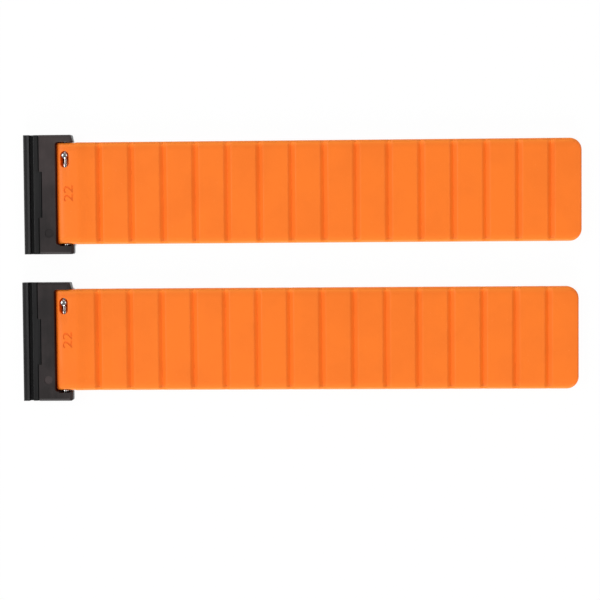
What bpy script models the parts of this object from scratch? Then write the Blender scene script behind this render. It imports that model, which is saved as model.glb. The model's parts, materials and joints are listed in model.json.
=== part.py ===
# Silicone watch strap: two halves lying side by side, wrist side up.
# Each half is a row of blocks joined at moulded grooves, with magnets inside, pinned by a
# quick-release spring bar to a slide-in connector.
# Metres, +Z up, X along the strap towards its free end, origin under the middle of the pair.

import math

import bmesh
import bpy
from mathutils import Matrix, Vector

MM = 0.001

# Strap blocks
STRAP_WIDTH = 22.2 * MM
STRAP_THICK = 2.8 * MM
BLOCK_PITCH = 7.0 * MM  # groove to groove, and bar axis to first groove
BLOCK_COUNT = 15  # blocks after the lug block
GROOVE_WIDTH = 1.5 * MM
GROOVE_DEPTH = 0.75 * MM  # the same on both faces
HINGE_GAP = 0.3 * MM  # between two blocks, at the thin web that bends
EDGE_ROUND = 0.8 * MM  # rounding of the long edges and of the free end
END_CORNER = 2.6 * MM  # plan radius of the free end's corners

# Magnets, in the blocks nearest the free end
MAGNET_COUNT = 9
MAGNET_SKIN = 0.7 * MM  # rubber above and below the pocket
MAGNET_WALL = 0.45 * MM  # rubber between pocket and groove
MAGNET_SIDE = 2.9 * MM  # rubber between pocket and long edge
MAGNET_CLEARANCE = 0.2 * MM
MAGNET_EDGE = 0.15 * MM
POCKET_MOUTH_WIDTH = 6.0 * MM
POCKET_MOUTH_HEIGHT = 0.5 * MM

# Spring bar
BAR_DIAMETER = 1.5 * MM
BAR_WALL = 0.2 * MM
BAR_INSET = 0.25 * MM  # the tube is this much shorter than the lug block at each end
RUNNING_CLEARANCE = 0.1 * MM  # pin, tip and spring in the tube
PLUG_LENGTH = 5.0 * MM  # fixed tip inside the tube
COLLAR_STEP = 0.1 * MM  # collar of the fixed tip, less than the tube's radius
COLLAR_WIDTH = 0.22 * MM
COLLAR_GAP = 0.12 * MM
TIP_STEP = 0.05 * MM  # tips are slimmer than the pin
TIP_REACH = 0.9 * MM  # tips inside the ears
TIP_POINT = 0.15 * MM
SPRING_WIRE = 0.18 * MM
SPRING_TURNS = 10
SPRING_SEAT = 0.12 * MM

# Release pin and its thumb knob
KNOB_DIAMETER = 1.4 * MM
KNOB_STEM = 0.6 * MM
KNOB_EDGE = 2.1 * MM  # tube's end to the knob's middle
KNOB_LIFT = 0.2 * MM  # under the knob's head, over the tube
KNOB_PROUD = 0.1 * MM  # above the lug block
KNOB_ROUND = 0.2 * MM
PIN_TRAVEL = 1.5 * MM
PIN_GUIDE = 5.5 * MM  # pin behind the knob
STEM_CLEARANCE = 0.12 * MM
WINDOW_CLEARANCE = 0.3 * MM

# Lug block
LUG_STEP = 0.25 * MM  # narrower than the strap on each side, between the ears
LUG_WALL = 0.75 * MM  # rubber round the bore
LUG_FLAT = 0.4 * MM  # thick part past the shoulder, before the slope down to the first groove
LUG_CORNER = 0.6 * MM
BORE_CLEARANCE = 0.2 * MM
SHOULDER_GAP = 0.4 * MM
SHOULDER_RUN = 0.5 * MM

# Connector
CONNECTOR_REACH = 9.1 * MM  # bar axis to the rail's nose
EAR_THICK = 1.5 * MM
EAR_CLEARANCE = 0.25 * MM  # beside the lug block, when it has slid against an ear
SIDE_PLAY = 0.8 * MM  # how far the lug block can slide along the bar, from ear to ear
EAR_NOSE = 0.1 * MM  # ears reach past the lug block's barrel
EAR_ROUND = 1.2 * MM
EAR_HOLE_SPARE = 0.3 * MM
EAR_HOLE_CLEARANCE = 0.15 * MM
LUG_GAP = 0.35 * MM  # behind the lug block's barrel
LIP_WIDTH = 1.2 * MM
LIP_DROP = 0.4 * MM  # lip's top below the plate's top
LIP_EDGE = 0.25 * MM
RAIL_WIDTH = 0.9 * MM  # rail groove
RAIL_DEPTH = 2.0 * MM
LEDGE_WIDTH = 1.4 * MM
LEDGE_DEPTH = 1.0 * MM
NOSE_ROUND = 1.1 * MM
CONNECTOR_EDGE = 0.3 * MM
NOTCH_LENGTH = 10.0 * MM  # shallow recess in the middle of the plate's edge
NOTCH_DEPTH = 0.65 * MM
MARK_DIAMETER = 1.9 * MM  # ejector mark on the plate
MARK_DEPTH = 0.1 * MM
MARK_FROM_END = 4.6 * MM

# How the pair lies
PAIR_GAP = 6.15 * MM  # between the two connectors
PAIR_STAGGER = 0.65 * MM  # second half lies this much further back
PLAY_TAKEN_A = 0.6  # how much of its play each lug block has slid towards the knob's ear
PLAY_TAKEN_B = 1.0

# Fineness of round shapes
CORNER_STEPS = 2
GROOVE_STEPS = 3
ROUND_SIDES = 16
ARC_STEPS = 4
BARREL_TURNS = (15, 40, 65, 90)  # degrees round the lug block's back, a section at each
END_TURNS = (0, 30, 55, 75, 90)  # degrees round the free end's corners, a section at each
SHARP_DEGREES = 35  # edges that turn more than this stay sharp
MERGE = 0.001 * MM
COIL_POINTS = 9
PAST = 1.0 * MM  # how far a cutter runs past a face

# Sizes that follow
bar_radius = BAR_DIAMETER / 2
tube_inside = bar_radius - BAR_WALL
pin_radius = tube_inside - RUNNING_CLEARANCE
tip_radius = pin_radius - TIP_STEP
bore_radius = bar_radius + BORE_CLEARANCE
lug_radius = bore_radius + LUG_WALL
lug_half = STRAP_WIDTH / 2 - LUG_STEP
tube_half = lug_half - BAR_INSET
ear_inside = lug_half + EAR_CLEARANCE + SIDE_PLAY / 2
ear_outside = ear_inside + EAR_THICK
ear_reach = lug_radius + EAR_NOSE
tip_end = ear_inside + TIP_REACH
knob_y = tube_half - KNOB_EDGE
slid_a = PLAY_TAKEN_A * SIDE_PLAY / 2
slid_b = PLAY_TAKEN_B * SIDE_PLAY / 2
pin_inner = knob_y - PIN_GUIDE
plug_inner = PLUG_LENGTH - tube_half
strap_half = STRAP_THICK / 2
web_half = strap_half - GROOVE_DEPTH
strap_mid = strap_half - lug_radius  # strap's middle plane, from the bar axis
plate_start = LIP_WIDTH + RAIL_WIDTH + LEDGE_WIDTH - CONNECTOR_REACH
plate_end = -lug_radius - LUG_GAP
strap_length = (BLOCK_COUNT + 1) * BLOCK_PITCH
bar_x = (CONNECTOR_REACH + PAIR_STAGGER - strap_length) / 2
pair_y = ear_outside + PAIR_GAP / 2


def clear_scene():
    for thing in list(bpy.data.objects):
        bpy.data.objects.remove(thing)


def make_material(name, colour, roughness, metallic):
    material = bpy.data.materials.new(name)
    material.use_nodes = True
    shader = material.node_tree.nodes["Principled BSDF"]
    shader.inputs["Base Color"].default_value = (*colour, 1.0)
    shader.inputs["Roughness"].default_value = roughness
    shader.inputs["Metallic"].default_value = metallic
    return material


def finished(mesh):
    mesh.shade_smooth()
    mesh.set_sharp_from_angle(angle=math.radians(SHARP_DEGREES))
    return mesh


def mesh_of(shape, name):
    bmesh.ops.recalc_face_normals(shape, faces=shape.faces)
    mesh = bpy.data.meshes.new(name)
    shape.to_mesh(mesh)
    shape.free()
    return mesh


def box_mesh(low, high, name="box"):
    shape = bmesh.new()
    size = Vector(high) - Vector(low)
    middle = (Vector(high) + Vector(low)) / 2
    bmesh.ops.create_cube(shape, size=1, matrix=Matrix.Translation(middle) @ Matrix.Diagonal((*size, 1)))
    return mesh_of(shape, name)


def turned_mesh(profile, name):
    """Turns a profile of (radius, height) points, from the bottom up, about Z."""
    shape = bmesh.new()
    points = [shape.verts.new((radius, 0, height)) for radius, height in profile]
    edges = [shape.edges.new(pair) for pair in zip(points, points[1:])]
    bmesh.ops.spin(
        shape,
        geom=points + edges,
        cent=(0, 0, 0),
        axis=(0, 0, 1),
        angle=math.tau,
        steps=ROUND_SIDES,
        use_merge=True,
    )
    bmesh.ops.remove_doubles(shape, verts=shape.verts, dist=MERGE)
    return mesh_of(shape, name)


def rod_mesh(radius, start, end, name):
    """A round rod along Y."""
    mesh = turned_mesh([(0, -end), (radius, -end), (radius, -start), (0, -start)], name)
    mesh.transform(Matrix.Rotation(math.radians(90), 4, "X"))
    return mesh


def stadium_mesh(radius, low_y, high_y, low_z, high_z, name="slot"):
    """An upright prism with half-round ends, for slots along Y."""
    shape = bmesh.new()
    points = []
    for turn in range(ROUND_SIDES):
        angle = math.tau * (turn + 0.5) / ROUND_SIDES
        end = high_y - radius if math.sin(angle) > 0 else low_y + radius
        points.append(shape.verts.new((radius * math.cos(angle), end + radius * math.sin(angle), low_z)))
    face = shape.faces.new(points)
    risen = bmesh.ops.extrude_face_region(shape, geom=[face])["geom"]
    bmesh.ops.translate(
        shape, vec=(0, 0, high_z - low_z), verts=[v for v in risen if isinstance(v, bmesh.types.BMVert)]
    )
    return mesh_of(shape, name)


def combined(mesh, others, operation):
    """The mesh after cutting away, or joining on, each of the other meshes."""
    body = bpy.data.objects.new(mesh.name, mesh)
    bpy.context.collection.objects.link(body)
    helpers = []
    for other in others:
        helper = bpy.data.objects.new(other.name, other)
        bpy.context.collection.objects.link(helper)
        helper.hide_render = True
        helper.display_type = "WIRE"
        step = body.modifiers.new(other.name, "BOOLEAN")
        step.operation = operation
        step.solver = "EXACT"
        step.object = helper
        helpers.append(helper)
    graph = bpy.context.evaluated_depsgraph_get()
    result = bpy.data.meshes.new_from_object(body.evaluated_get(graph))
    result.name = mesh.name
    for thing in [body, *helpers]:
        bpy.data.objects.remove(thing)
    return result


def section(shape, x, half_width, low, high):
    """A rounded rectangle across the strap. Its corners flatten with it where a groove thins it."""
    rise = EDGE_ROUND * (high - low) / STRAP_THICK
    corners = [
        (half_width - EDGE_ROUND, high - rise, 0),
        (EDGE_ROUND - half_width, high - rise, 90),
        (EDGE_ROUND - half_width, low + rise, 180),
        (half_width - EDGE_ROUND, low + rise, 270),
    ]
    loop = []
    for y, z, start in corners:
        for step in range(CORNER_STEPS + 1):
            angle = math.radians(start + 90 * step / CORNER_STEPS)
            loop.append(shape.verts.new((x, y + EDGE_ROUND * math.cos(angle), z + rise * math.sin(angle))))
    return loop


def lofted_mesh(stations, name):
    """Skins the sections at (x, half width, lowest z, highest z) and closes both ends."""
    shape = bmesh.new()
    loops = [section(shape, *station) for station in stations]
    for one, two in zip(loops, loops[1:]):
        for i in range(len(one)):
            shape.faces.new((one[i - 1], one[i], two[i], two[i - 1]))
    shape.faces.new(loops[0])
    shape.faces.new(reversed(loops[-1]))
    return mesh_of(shape, name)


def groove_side():
    """(distance from the groove's middle, half thickness of the strap), from web to full block."""
    start = HINGE_GAP / 2
    run = GROOVE_WIDTH / 2 - start
    points = []
    for step in range(GROOVE_STEPS + 1):
        share = step / GROOVE_STEPS
        points.append((start + run * share, web_half + GROOVE_DEPTH * math.sin(share * math.pi / 2) ** 2))
    return points


def free_end():
    """Sections of the rounded free end, from the block's own hinge."""
    stations = []
    for degrees in END_TURNS:
        angle = math.radians(degrees)
        from_end = END_CORNER * (1 - math.sin(angle))
        inset = END_CORNER * (1 - math.cos(angle))
        into_round = max(0, 1 - from_end / EDGE_ROUND)
        half = strap_half - EDGE_ROUND * (1 - math.sqrt(1 - into_round**2))
        stations.append((BLOCK_PITCH - from_end, STRAP_WIDTH / 2 - inset, -half, half))
    return stations


def block_mesh(name, is_last, has_magnet):
    """A strap block, from the middle of its own groove at the origin."""
    near = [(u, STRAP_WIDTH / 2, -half, half) for u, half in groove_side()]
    far = [(BLOCK_PITCH - u, STRAP_WIDTH / 2, -half, half) for u, half in reversed(groove_side())]
    mesh = lofted_mesh(near + (free_end() if is_last else far), name)
    if has_magnet:
        low, high = pocket_corners(0)
        mouth_y = POCKET_MOUTH_WIDTH / 2
        mouth_z = POCKET_MOUTH_HEIGHT / 2
        mouth = box_mesh((-PAST, -mouth_y, -mouth_z), (low[0] + MAGNET_SKIN, mouth_y, mouth_z), "mouth")
        mesh = combined(mesh, [box_mesh(low, high, "pocket"), mouth], "DIFFERENCE")
    return finished(mesh)


def pocket_corners(clearance):
    """Two corners of the magnet's pocket, or of the magnet itself when it is given its clearance."""
    x = GROOVE_WIDTH / 2 + MAGNET_WALL + clearance
    y = STRAP_WIDTH / 2 - MAGNET_SIDE - clearance
    z = strap_half - MAGNET_SKIN - clearance
    return (x, -y, -z), (BLOCK_PITCH - x, y, z)


def magnet_mesh():
    mesh = box_mesh(*pocket_corners(MAGNET_CLEARANCE), "magnet")
    shape = bmesh.new()
    shape.from_mesh(mesh)
    bmesh.ops.bevel(shape, geom=shape.edges[:], offset=MAGNET_EDGE, segments=1, affect="EDGES")
    return finished(mesh_of(shape, "magnet"))


def lug_mesh():
    """The block that holds the spring bar, from the bar axis at the origin. Its window suits both halves."""
    stations = []
    for degrees in BARREL_TURNS:
        angle = math.radians(degrees)
        x = -lug_radius * math.cos(angle)
        into_corner = max(0, LUG_CORNER - lug_radius - x)
        inset = LUG_CORNER - math.sqrt(LUG_CORNER**2 - into_corner**2)
        half = lug_radius * math.sin(angle)
        stations.append((x, lug_half - inset, -half, half))
    shoulder = ear_reach + SHOULDER_GAP
    wide = shoulder + SHOULDER_RUN
    stations.append((shoulder, lug_half, -lug_radius, lug_radius))
    stations.append((wide, STRAP_WIDTH / 2, -lug_radius, lug_radius))
    stations.append((wide + LUG_FLAT, STRAP_WIDTH / 2, -lug_radius, lug_radius))
    for u, half in reversed(groove_side()):
        stations.append((BLOCK_PITCH - u, STRAP_WIDTH / 2, strap_mid - half, strap_mid + half))
    mesh = lofted_mesh(stations, "strap_lug")
    bore = rod_mesh(bore_radius, -lug_half - PAST, lug_half + PAST, "bore")
    half = KNOB_DIAMETER / 2 + WINDOW_CLEARANCE
    window_low = knob_y - PIN_TRAVEL - max(slid_a, slid_b) - half
    window_high = knob_y - min(slid_a, slid_b) + half
    window = stadium_mesh(half, window_low, window_high, 0, lug_radius + PAST, "window")
    return finished(combined(mesh, [bore, window], "DIFFERENCE"))


def tube_mesh():
    """The spring bar's body, open at both ends and slotted for the knob's stem."""
    mesh = rod_mesh(bar_radius, -tube_half, tube_half, "bar_tube")
    inside = rod_mesh(tube_inside, -tube_half - PAST, tube_half + PAST, "inside")
    half = KNOB_STEM / 2 + STEM_CLEARANCE
    slot = stadium_mesh(half, knob_y - PIN_TRAVEL - half, knob_y + half, 0, bar_radius + PAST)
    return finished(combined(mesh, [inside, slot], "DIFFERENCE"))


def fixed_tip_mesh():
    """The plain tip: a plug in the tube, a collar against its end, and a tip in the ear."""
    collar_start = tube_half + COLLAR_GAP
    collar_end = collar_start + COLLAR_WIDTH
    profile = [
        (0, -plug_inner),
        (pin_radius, -plug_inner),
        (pin_radius, collar_start),
        (bar_radius - COLLAR_STEP, collar_start),
        (bar_radius - COLLAR_STEP, collar_end),
        (tip_radius, collar_end),
        (tip_radius, tip_end - TIP_POINT),
        (tip_radius - TIP_POINT, tip_end),
        (0, tip_end),
    ]
    mesh = turned_mesh(profile, "bar_fixed_tip")
    mesh.transform(Matrix.Rotation(math.radians(90), 4, "X"))
    return finished(mesh)


def release_pin_mesh():
    """The sprung tip and its thumb knob, one piece."""
    profile = [
        (0, pin_inner),
        (pin_radius, pin_inner),
        (pin_radius, tube_half),
        (tip_radius, tube_half + TIP_POINT),
        (tip_radius, tip_end - TIP_POINT),
        (tip_radius - TIP_POINT, tip_end),
        (0, tip_end),
    ]
    pin = turned_mesh(profile, "release_pin")
    pin.transform(Matrix.Rotation(math.radians(-90), 4, "X"))
    head = bar_radius + KNOB_LIFT
    top = lug_radius + KNOB_PROUD
    knob = turned_mesh(
        [
            (0, 0),
            (KNOB_STEM / 2, 0),
            (KNOB_STEM / 2, head),
            (KNOB_DIAMETER / 2, head),
            (KNOB_DIAMETER / 2, top - KNOB_ROUND),
            (KNOB_DIAMETER / 2 - KNOB_ROUND, top),
            (0, top),
        ],
        "knob",
    )
    knob.transform(Matrix.Translation((0, knob_y, 0)))
    return finished(combined(pin, [knob], "UNION"))


def spring_curve():
    """The return spring: a helix along Y between the fixed tip's plug and the release pin."""
    wire = SPRING_WIRE / 2
    start = plug_inner + SPRING_SEAT + wire
    end = pin_inner - SPRING_SEAT - wire
    radius = pin_radius - wire
    curve = bpy.data.curves.new("release_spring", "CURVE")
    curve.dimensions = "3D"
    curve.bevel_depth = wire
    curve.bevel_resolution = 0
    curve.use_fill_caps = True
    spline = curve.splines.new("POLY")
    count = SPRING_TURNS * COIL_POINTS
    spline.points.add(count)
    for i, point in enumerate(spline.points):
        angle = math.tau * i / COIL_POINTS
        along = start + (end - start) * i / count
        point.co = (radius * math.cos(angle), along, radius * math.sin(angle), 1)
    return curve


def arc(centre_x, centre_z, radius, start, end):
    """Points of an arc in the XZ plane, from one angle to another in degrees."""
    points = []
    for step in range(ARC_STEPS + 1):
        angle = math.radians(start + (end - start) * step / ARC_STEPS)
        points.append((centre_x + radius * math.cos(angle), centre_z + radius * math.sin(angle)))
    return points


def connector_outline():
    """Side view of the connector, from the bar axis: nose, lip, rail groove, ledge, plate and ear."""
    low = -lug_radius
    top = lug_radius
    nose = -CONNECTOR_REACH
    lip_top = top - LIP_DROP
    lip_end = nose + LIP_WIDTH
    groove_end = lip_end + RAIL_WIDTH
    points = arc(ear_reach - EAR_ROUND, low + EAR_ROUND, EAR_ROUND, 0, -90)
    points += arc(nose + NOSE_ROUND, low + NOSE_ROUND, NOSE_ROUND, 270, 180)
    points += [(nose, lip_top - LIP_EDGE), (nose + LIP_EDGE, lip_top)]
    points += [(lip_end - LIP_EDGE, lip_top), (lip_end, lip_top - LIP_EDGE)]
    points += [(lip_end, top - RAIL_DEPTH), (groove_end, top - RAIL_DEPTH)]
    points += [(groove_end, top - LEDGE_DEPTH), (plate_start, top - LEDGE_DEPTH)]
    points += [(plate_start, top)]
    points += arc(ear_reach - EAR_ROUND, top - EAR_ROUND, EAR_ROUND, 90, 0)
    return points


def connector_mesh():
    """The slide-in end that joins the strap to the watch."""
    shape = bmesh.new()
    side = [shape.verts.new((x, -ear_outside, z)) for x, z in connector_outline()]
    face = shape.faces.new(side)
    grown = bmesh.ops.extrude_face_region(shape, geom=[face])["geom"]
    moved = [v for v in grown if isinstance(v, bmesh.types.BMVert)]
    bmesh.ops.translate(shape, vec=(0, 2 * ear_outside, 0), verts=moved)
    ends = [e for e in shape.edges if e.verts[0].co.y == e.verts[1].co.y]
    bmesh.ops.bevel(shape, geom=ends, offset=CONNECTOR_EDGE, segments=1, affect="EDGES", clamp_overlap=True)
    mesh = mesh_of(shape, "connector")
    top = lug_radius
    strap_space = box_mesh(
        (plate_end, -ear_inside, -lug_radius - PAST),
        (ear_reach + PAST, ear_inside, top + PAST),
        "strap_space",
    )
    notch = box_mesh(
        (plate_start - LEDGE_WIDTH / 2, -NOTCH_LENGTH / 2, top - LEDGE_DEPTH),
        (plate_start + NOTCH_DEPTH, NOTCH_LENGTH / 2, top + PAST),
        "notch",
    )
    hole_depth = tip_end + EAR_HOLE_SPARE
    holes = rod_mesh(tip_radius + EAR_HOLE_CLEARANCE, -hole_depth, hole_depth, "holes")
    mark = turned_mesh([(0, 0), (MARK_DIAMETER / 2, 0), (MARK_DIAMETER / 2, PAST), (0, PAST)], "mark")
    mark_x = (plate_start + NOTCH_DEPTH + plate_end) / 2
    mark.transform(Matrix.Translation((mark_x, MARK_FROM_END - ear_outside, top - MARK_DEPTH)))
    return finished(combined(mesh, [strap_space, notch, holes, mark], "DIFFERENCE"))


def place(name, data, material, parent, spot=(0, 0, 0)):
    thing = bpy.data.objects.new(name, data)
    bpy.context.collection.objects.link(thing)
    thing.parent = parent
    thing.location = spot
    if material is not None:
        data.materials.clear()
        data.materials.append(material)
    return thing


def build_shapes():
    return {
        "connector": connector_mesh(),
        "lug": lug_mesh(),
        "tube": tube_mesh(),
        "fixed_tip": fixed_tip_mesh(),
        "release_pin": release_pin_mesh(),
        "spring": spring_curve(),
        "magnet": magnet_mesh(),
        "plain_block": block_mesh("plain_block", False, False),
        "magnet_block": block_mesh("magnet_block", False, True),
        "end_block": block_mesh("end_block", True, True),
    }


def build_half(letter, spot, slid, shapes, finishes):
    """One half: the connector and bar, the lug block slid along the bar, and each block hung on the last."""
    bar = place(f"bar_axis_{letter}", None, None, None, spot)
    place(f"connector_{letter}", shapes["connector"], finishes["black"], bar)
    place(f"bar_tube_{letter}", shapes["tube"], finishes["steel"], bar)
    place(f"bar_fixed_tip_{letter}", shapes["fixed_tip"], finishes["steel"], bar)
    place(f"release_pin_{letter}", shapes["release_pin"], finishes["steel"], bar)
    place(f"release_spring_{letter}", shapes["spring"], finishes["steel"], bar)
    lug = place(f"strap_lug_{letter}", shapes["lug"], finishes["orange"], bar, (0, slid, 0))
    before = lug
    step = (BLOCK_PITCH, 0, strap_mid)
    for number in range(1, BLOCK_COUNT + 1):
        has_magnet = number > BLOCK_COUNT - MAGNET_COUNT
        kind = "magnet_block" if has_magnet else "plain_block"
        if number == BLOCK_COUNT:
            kind = "end_block"
        before = place(f"strap_block_{letter}_{number:02d}", shapes[kind], finishes["orange"], before, step)
        step = (BLOCK_PITCH, 0, 0)
        if has_magnet:
            place(f"magnet_{letter}_{number:02d}", shapes["magnet"], finishes["nickel"], before)


clear_scene()
strap_finishes = {
    "orange": make_material("orange_silicone", (0.99, 0.22, 0.028), 0.55, 0.0),
    "black": make_material("black_plastic", (0.018, 0.018, 0.019), 0.42, 0.0),
    "steel": make_material("polished_steel", (0.62, 0.62, 0.63), 0.25, 1.0),
    "nickel": make_material("nickel_plate", (0.55, 0.54, 0.52), 0.3, 1.0),
}
strap_shapes = build_shapes()
build_half("a", (bar_x, pair_y, lug_radius), slid_a, strap_shapes, strap_finishes)
build_half("b", (bar_x - PAIR_STAGGER, -pair_y, lug_radius), slid_b, strap_shapes, strap_finishes)
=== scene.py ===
import json
import math

import bmesh
import bpy
from mathutils import Matrix, Vector


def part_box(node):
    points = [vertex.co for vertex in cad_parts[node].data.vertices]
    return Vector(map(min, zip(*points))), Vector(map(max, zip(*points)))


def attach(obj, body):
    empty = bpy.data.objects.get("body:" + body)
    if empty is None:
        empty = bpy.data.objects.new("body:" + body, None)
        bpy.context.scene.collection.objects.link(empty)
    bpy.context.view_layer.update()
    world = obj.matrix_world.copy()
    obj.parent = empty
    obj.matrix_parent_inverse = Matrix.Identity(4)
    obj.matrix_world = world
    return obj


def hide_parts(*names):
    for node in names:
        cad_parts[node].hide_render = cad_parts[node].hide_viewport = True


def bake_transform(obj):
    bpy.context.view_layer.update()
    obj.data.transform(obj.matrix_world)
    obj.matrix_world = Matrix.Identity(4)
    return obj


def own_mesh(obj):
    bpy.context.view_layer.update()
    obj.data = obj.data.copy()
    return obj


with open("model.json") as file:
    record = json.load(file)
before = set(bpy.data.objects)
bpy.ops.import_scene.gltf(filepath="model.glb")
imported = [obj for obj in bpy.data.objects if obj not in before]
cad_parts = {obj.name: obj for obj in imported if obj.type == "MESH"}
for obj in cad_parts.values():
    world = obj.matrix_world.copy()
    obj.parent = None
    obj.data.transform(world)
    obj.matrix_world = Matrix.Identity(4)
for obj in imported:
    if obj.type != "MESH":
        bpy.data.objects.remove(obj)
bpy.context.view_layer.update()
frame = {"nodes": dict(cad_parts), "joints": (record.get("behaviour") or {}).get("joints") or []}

mm = 0.001
near = 0.00002  # two places closer than this count as one
mergeWithin = near / 20  # points that are merged
cutWithin = near / 10  # points that a cut takes as lying on it
rowWithin = near / 4  # points that belong to a row

# Where the bar and the grooves of the first half lie, and how far off those of the second half are
joints = {joint["name"]: joint for joint in frame["joints"]}
barAxis = Vector(joints["strap_pivot_a"]["pos_m"])
toSecondBar = Vector(joints["strap_pivot_b"]["pos_m"]) - barAxis
grooveNames = ["strap_curl_a"] + sorted(name for name in joints if name.startswith("groove_bend_a"))
grooves = [Vector(joints[name]["pos_m"]) for name in grooveNames]
toSecondStrap = Vector(joints["strap_curl_b"]["pos_m"]) - grooves[0]
pitch = (grooves[1] - grooves[0]).x
blockLow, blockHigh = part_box("strap_block_a_01")
strapHalf = (blockHigh.y - blockLow.y) / 2
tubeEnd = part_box("bar_tube_a")[1].y
tubeHalf = tubeEnd - barAxis.y
strapThick = blockHigh.z - blockLow.z
centreY = grooves[0].y  # the strap's middle: it has slid along its bar, towards one ear
pairMiddleY = centreY + toSecondStrap.y / 2
print("frame read:", len(grooves), "grooves per half, pitch", round(pitch / mm, 2), "mm")


# Modelling helpers

def selectOnly(thing):
    bpy.ops.object.select_all(action="DESELECT")
    thing.select_set(True)
    bpy.context.view_layer.objects.active = thing


def startEdit(thing):
    selectOnly(thing)
    bpy.ops.object.mode_set(mode="EDIT")
    bpy.ops.mesh.select_mode(type="VERT")
    bpy.ops.mesh.select_all(action="SELECT")


def stopEdit():
    bpy.ops.mesh.select_all(action="SELECT")
    bpy.ops.mesh.remove_doubles(threshold=mergeWithin)
    bpy.ops.mesh.normals_make_consistent(inside=False)
    bpy.ops.object.mode_set(mode="OBJECT")


def pick(thing, kind, test):  # select what passes the test, in edit mode
    bpy.ops.mesh.select_mode(type=kind)
    bpy.ops.mesh.select_all(action="DESELECT")
    shape = bmesh.from_edit_mesh(thing.data)
    items = {"VERT": shape.verts, "EDGE": shape.edges, "FACE": shape.faces}[kind]
    for item in items:
        if test(item):
            item.select_set(True)
    shape.select_flush_mode()
    bmesh.update_edit_mesh(thing.data)


def added(name):  # what was just added, with its place put into its mesh
    thing = bpy.context.object
    thing.name = name
    bpy.ops.object.transform_apply(location=True, rotation=True, scale=True)
    return thing


def addBox(name, low, high):
    bpy.ops.object.select_all(action="DESELECT")
    bpy.ops.mesh.primitive_cube_add(size=1, location=(Vector(low) + Vector(high)) / 2)
    bpy.context.object.scale = Vector(high) - Vector(low)
    return added(name)


def addRod(name, radius, start, end, sides):  # a rod from one point to another
    along = Vector(end) - Vector(start)
    bpy.ops.object.select_all(action="DESELECT")
    bpy.ops.mesh.primitive_cylinder_add(
        vertices=sides, radius=radius, depth=along.length,
        location=(Vector(start) + Vector(end)) / 2, rotation=along.to_track_quat("Z", "Y").to_euler(),
    )
    return added(name)


def addSlot(name, middle, radius, lengthY, height, sides):  # an upright peg drawn out along Y
    bpy.ops.object.select_all(action="DESELECT")
    bpy.ops.mesh.primitive_cylinder_add(vertices=sides, radius=radius, depth=height, location=middle)
    peg = added(name)
    startEdit(peg)
    for side in (1, -1):
        pick(peg, "VERT", lambda v: (v.co.y - middle[1]) * side > near)
        bpy.ops.transform.translate(value=(0, side * (lengthY / 2 - radius), 0))
    stopEdit()
    return peg


def turnUp(name, profile, foot, sides):  # a turned piece, drawn up step by step: (radius, height)
    bpy.ops.object.select_all(action="DESELECT")
    radius, height = profile[0]
    bpy.ops.mesh.primitive_circle_add(
        vertices=sides, radius=radius, fill_type="NGON", location=(0, 0, height),
    )
    piece = added(name)
    startEdit(piece)
    for nextRadius, nextHeight in profile[1:]:
        bpy.ops.mesh.extrude_region_move(TRANSFORM_OT_translate={"value": (0, 0, nextHeight - height)})
        grow = nextRadius / radius
        bpy.ops.transform.resize(value=(grow, grow, 1), center_override=(0, 0, nextHeight))
        radius, height = nextRadius, nextHeight
    stopEdit()
    piece.data.transform(Matrix.Translation(foot))
    return piece


def drawOut(name, outline, startY, endY):  # a side view drawn point by point, filled and pulled along Y
    bpy.ops.object.select_all(action="DESELECT")
    bpy.ops.mesh.primitive_plane_add(size=mm, location=(outline[0][0], startY, outline[0][1]))
    piece = added(name)
    startEdit(piece)
    bpy.ops.mesh.merge(type="CENTER")
    for here, there in zip(outline, outline[1:]):
        step = (there[0] - here[0], 0, there[1] - here[1])
        bpy.ops.mesh.extrude_region_move(TRANSFORM_OT_translate={"value": step})
    bpy.ops.mesh.select_all(action="SELECT")
    bpy.ops.mesh.edge_face_add()
    bpy.ops.mesh.extrude_region_move(TRANSFORM_OT_translate={"value": (0, endY - startY, 0)})
    stopEdit()
    return piece


def arcOf(centre, radius, startTurn, endTurn, steps):  # points of an arc in the side view, in degrees
    turns = [math.radians(startTurn + (endTurn - startTurn) * step / steps) for step in range(steps + 1)]
    return [(centre[0] + radius * math.cos(turn), centre[1] + radius * math.sin(turn)) for turn in turns]


def roundCorners(corners, degreesPerStep=12):  # an outline from its corners: (x, z, radius)
    points = []
    for index, (x, z, radius) in enumerate(corners):
        corner = Vector((x, z))
        back = (Vector(corners[index - 1][:2]) - corner).normalized()
        ahead = (Vector(corners[(index + 1) % len(corners)][:2]) - corner).normalized()
        half = back.angle(ahead) / 2
        centre = corner + (back + ahead).normalized() * radius / math.sin(half)
        start = corner + back * radius / math.tan(half) - centre
        turn = start.angle_signed(corner + ahead * radius / math.tan(half) - centre) if radius else 0
        steps = max(1, round(math.degrees(abs(turn)) / degreesPerStep)) if radius else 0
        for step in range(steps + 1):
            points.append(tuple(centre + Matrix.Rotation(-turn * step / max(1, steps), 2) @ start))
    return points


def cutWith(thing, cutter, operation="DIFFERENCE"):  # worked out in millimetres
    selectOnly(thing)
    for one in (thing, cutter):
        one.data.transform(Matrix.Scale(1 / mm, 4))
    bpy.ops.object.modifier_add(type="BOOLEAN")
    step = thing.modifiers[-1]
    step.operation = operation
    step.solver = "EXACT"
    step.object = cutter
    bpy.ops.object.modifier_apply(modifier=step.name)
    thing.data.transform(Matrix.Scale(mm, 4))
    bpy.data.objects.remove(cutter)


def softenEdges(thing, width, steps, overDegrees):
    selectOnly(thing)
    bpy.ops.object.modifier_add(type="BEVEL")
    step = thing.modifiers[-1]
    step.width = width
    step.segments = steps
    step.limit_method = "ANGLE"
    step.angle_limit = math.radians(overDegrees)
    bpy.ops.object.modifier_apply(modifier=step.name)


def smooth(thing, overDegrees):
    selectOnly(thing)
    bpy.ops.object.shade_smooth_by_angle(angle=math.radians(overDegrees))


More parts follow.
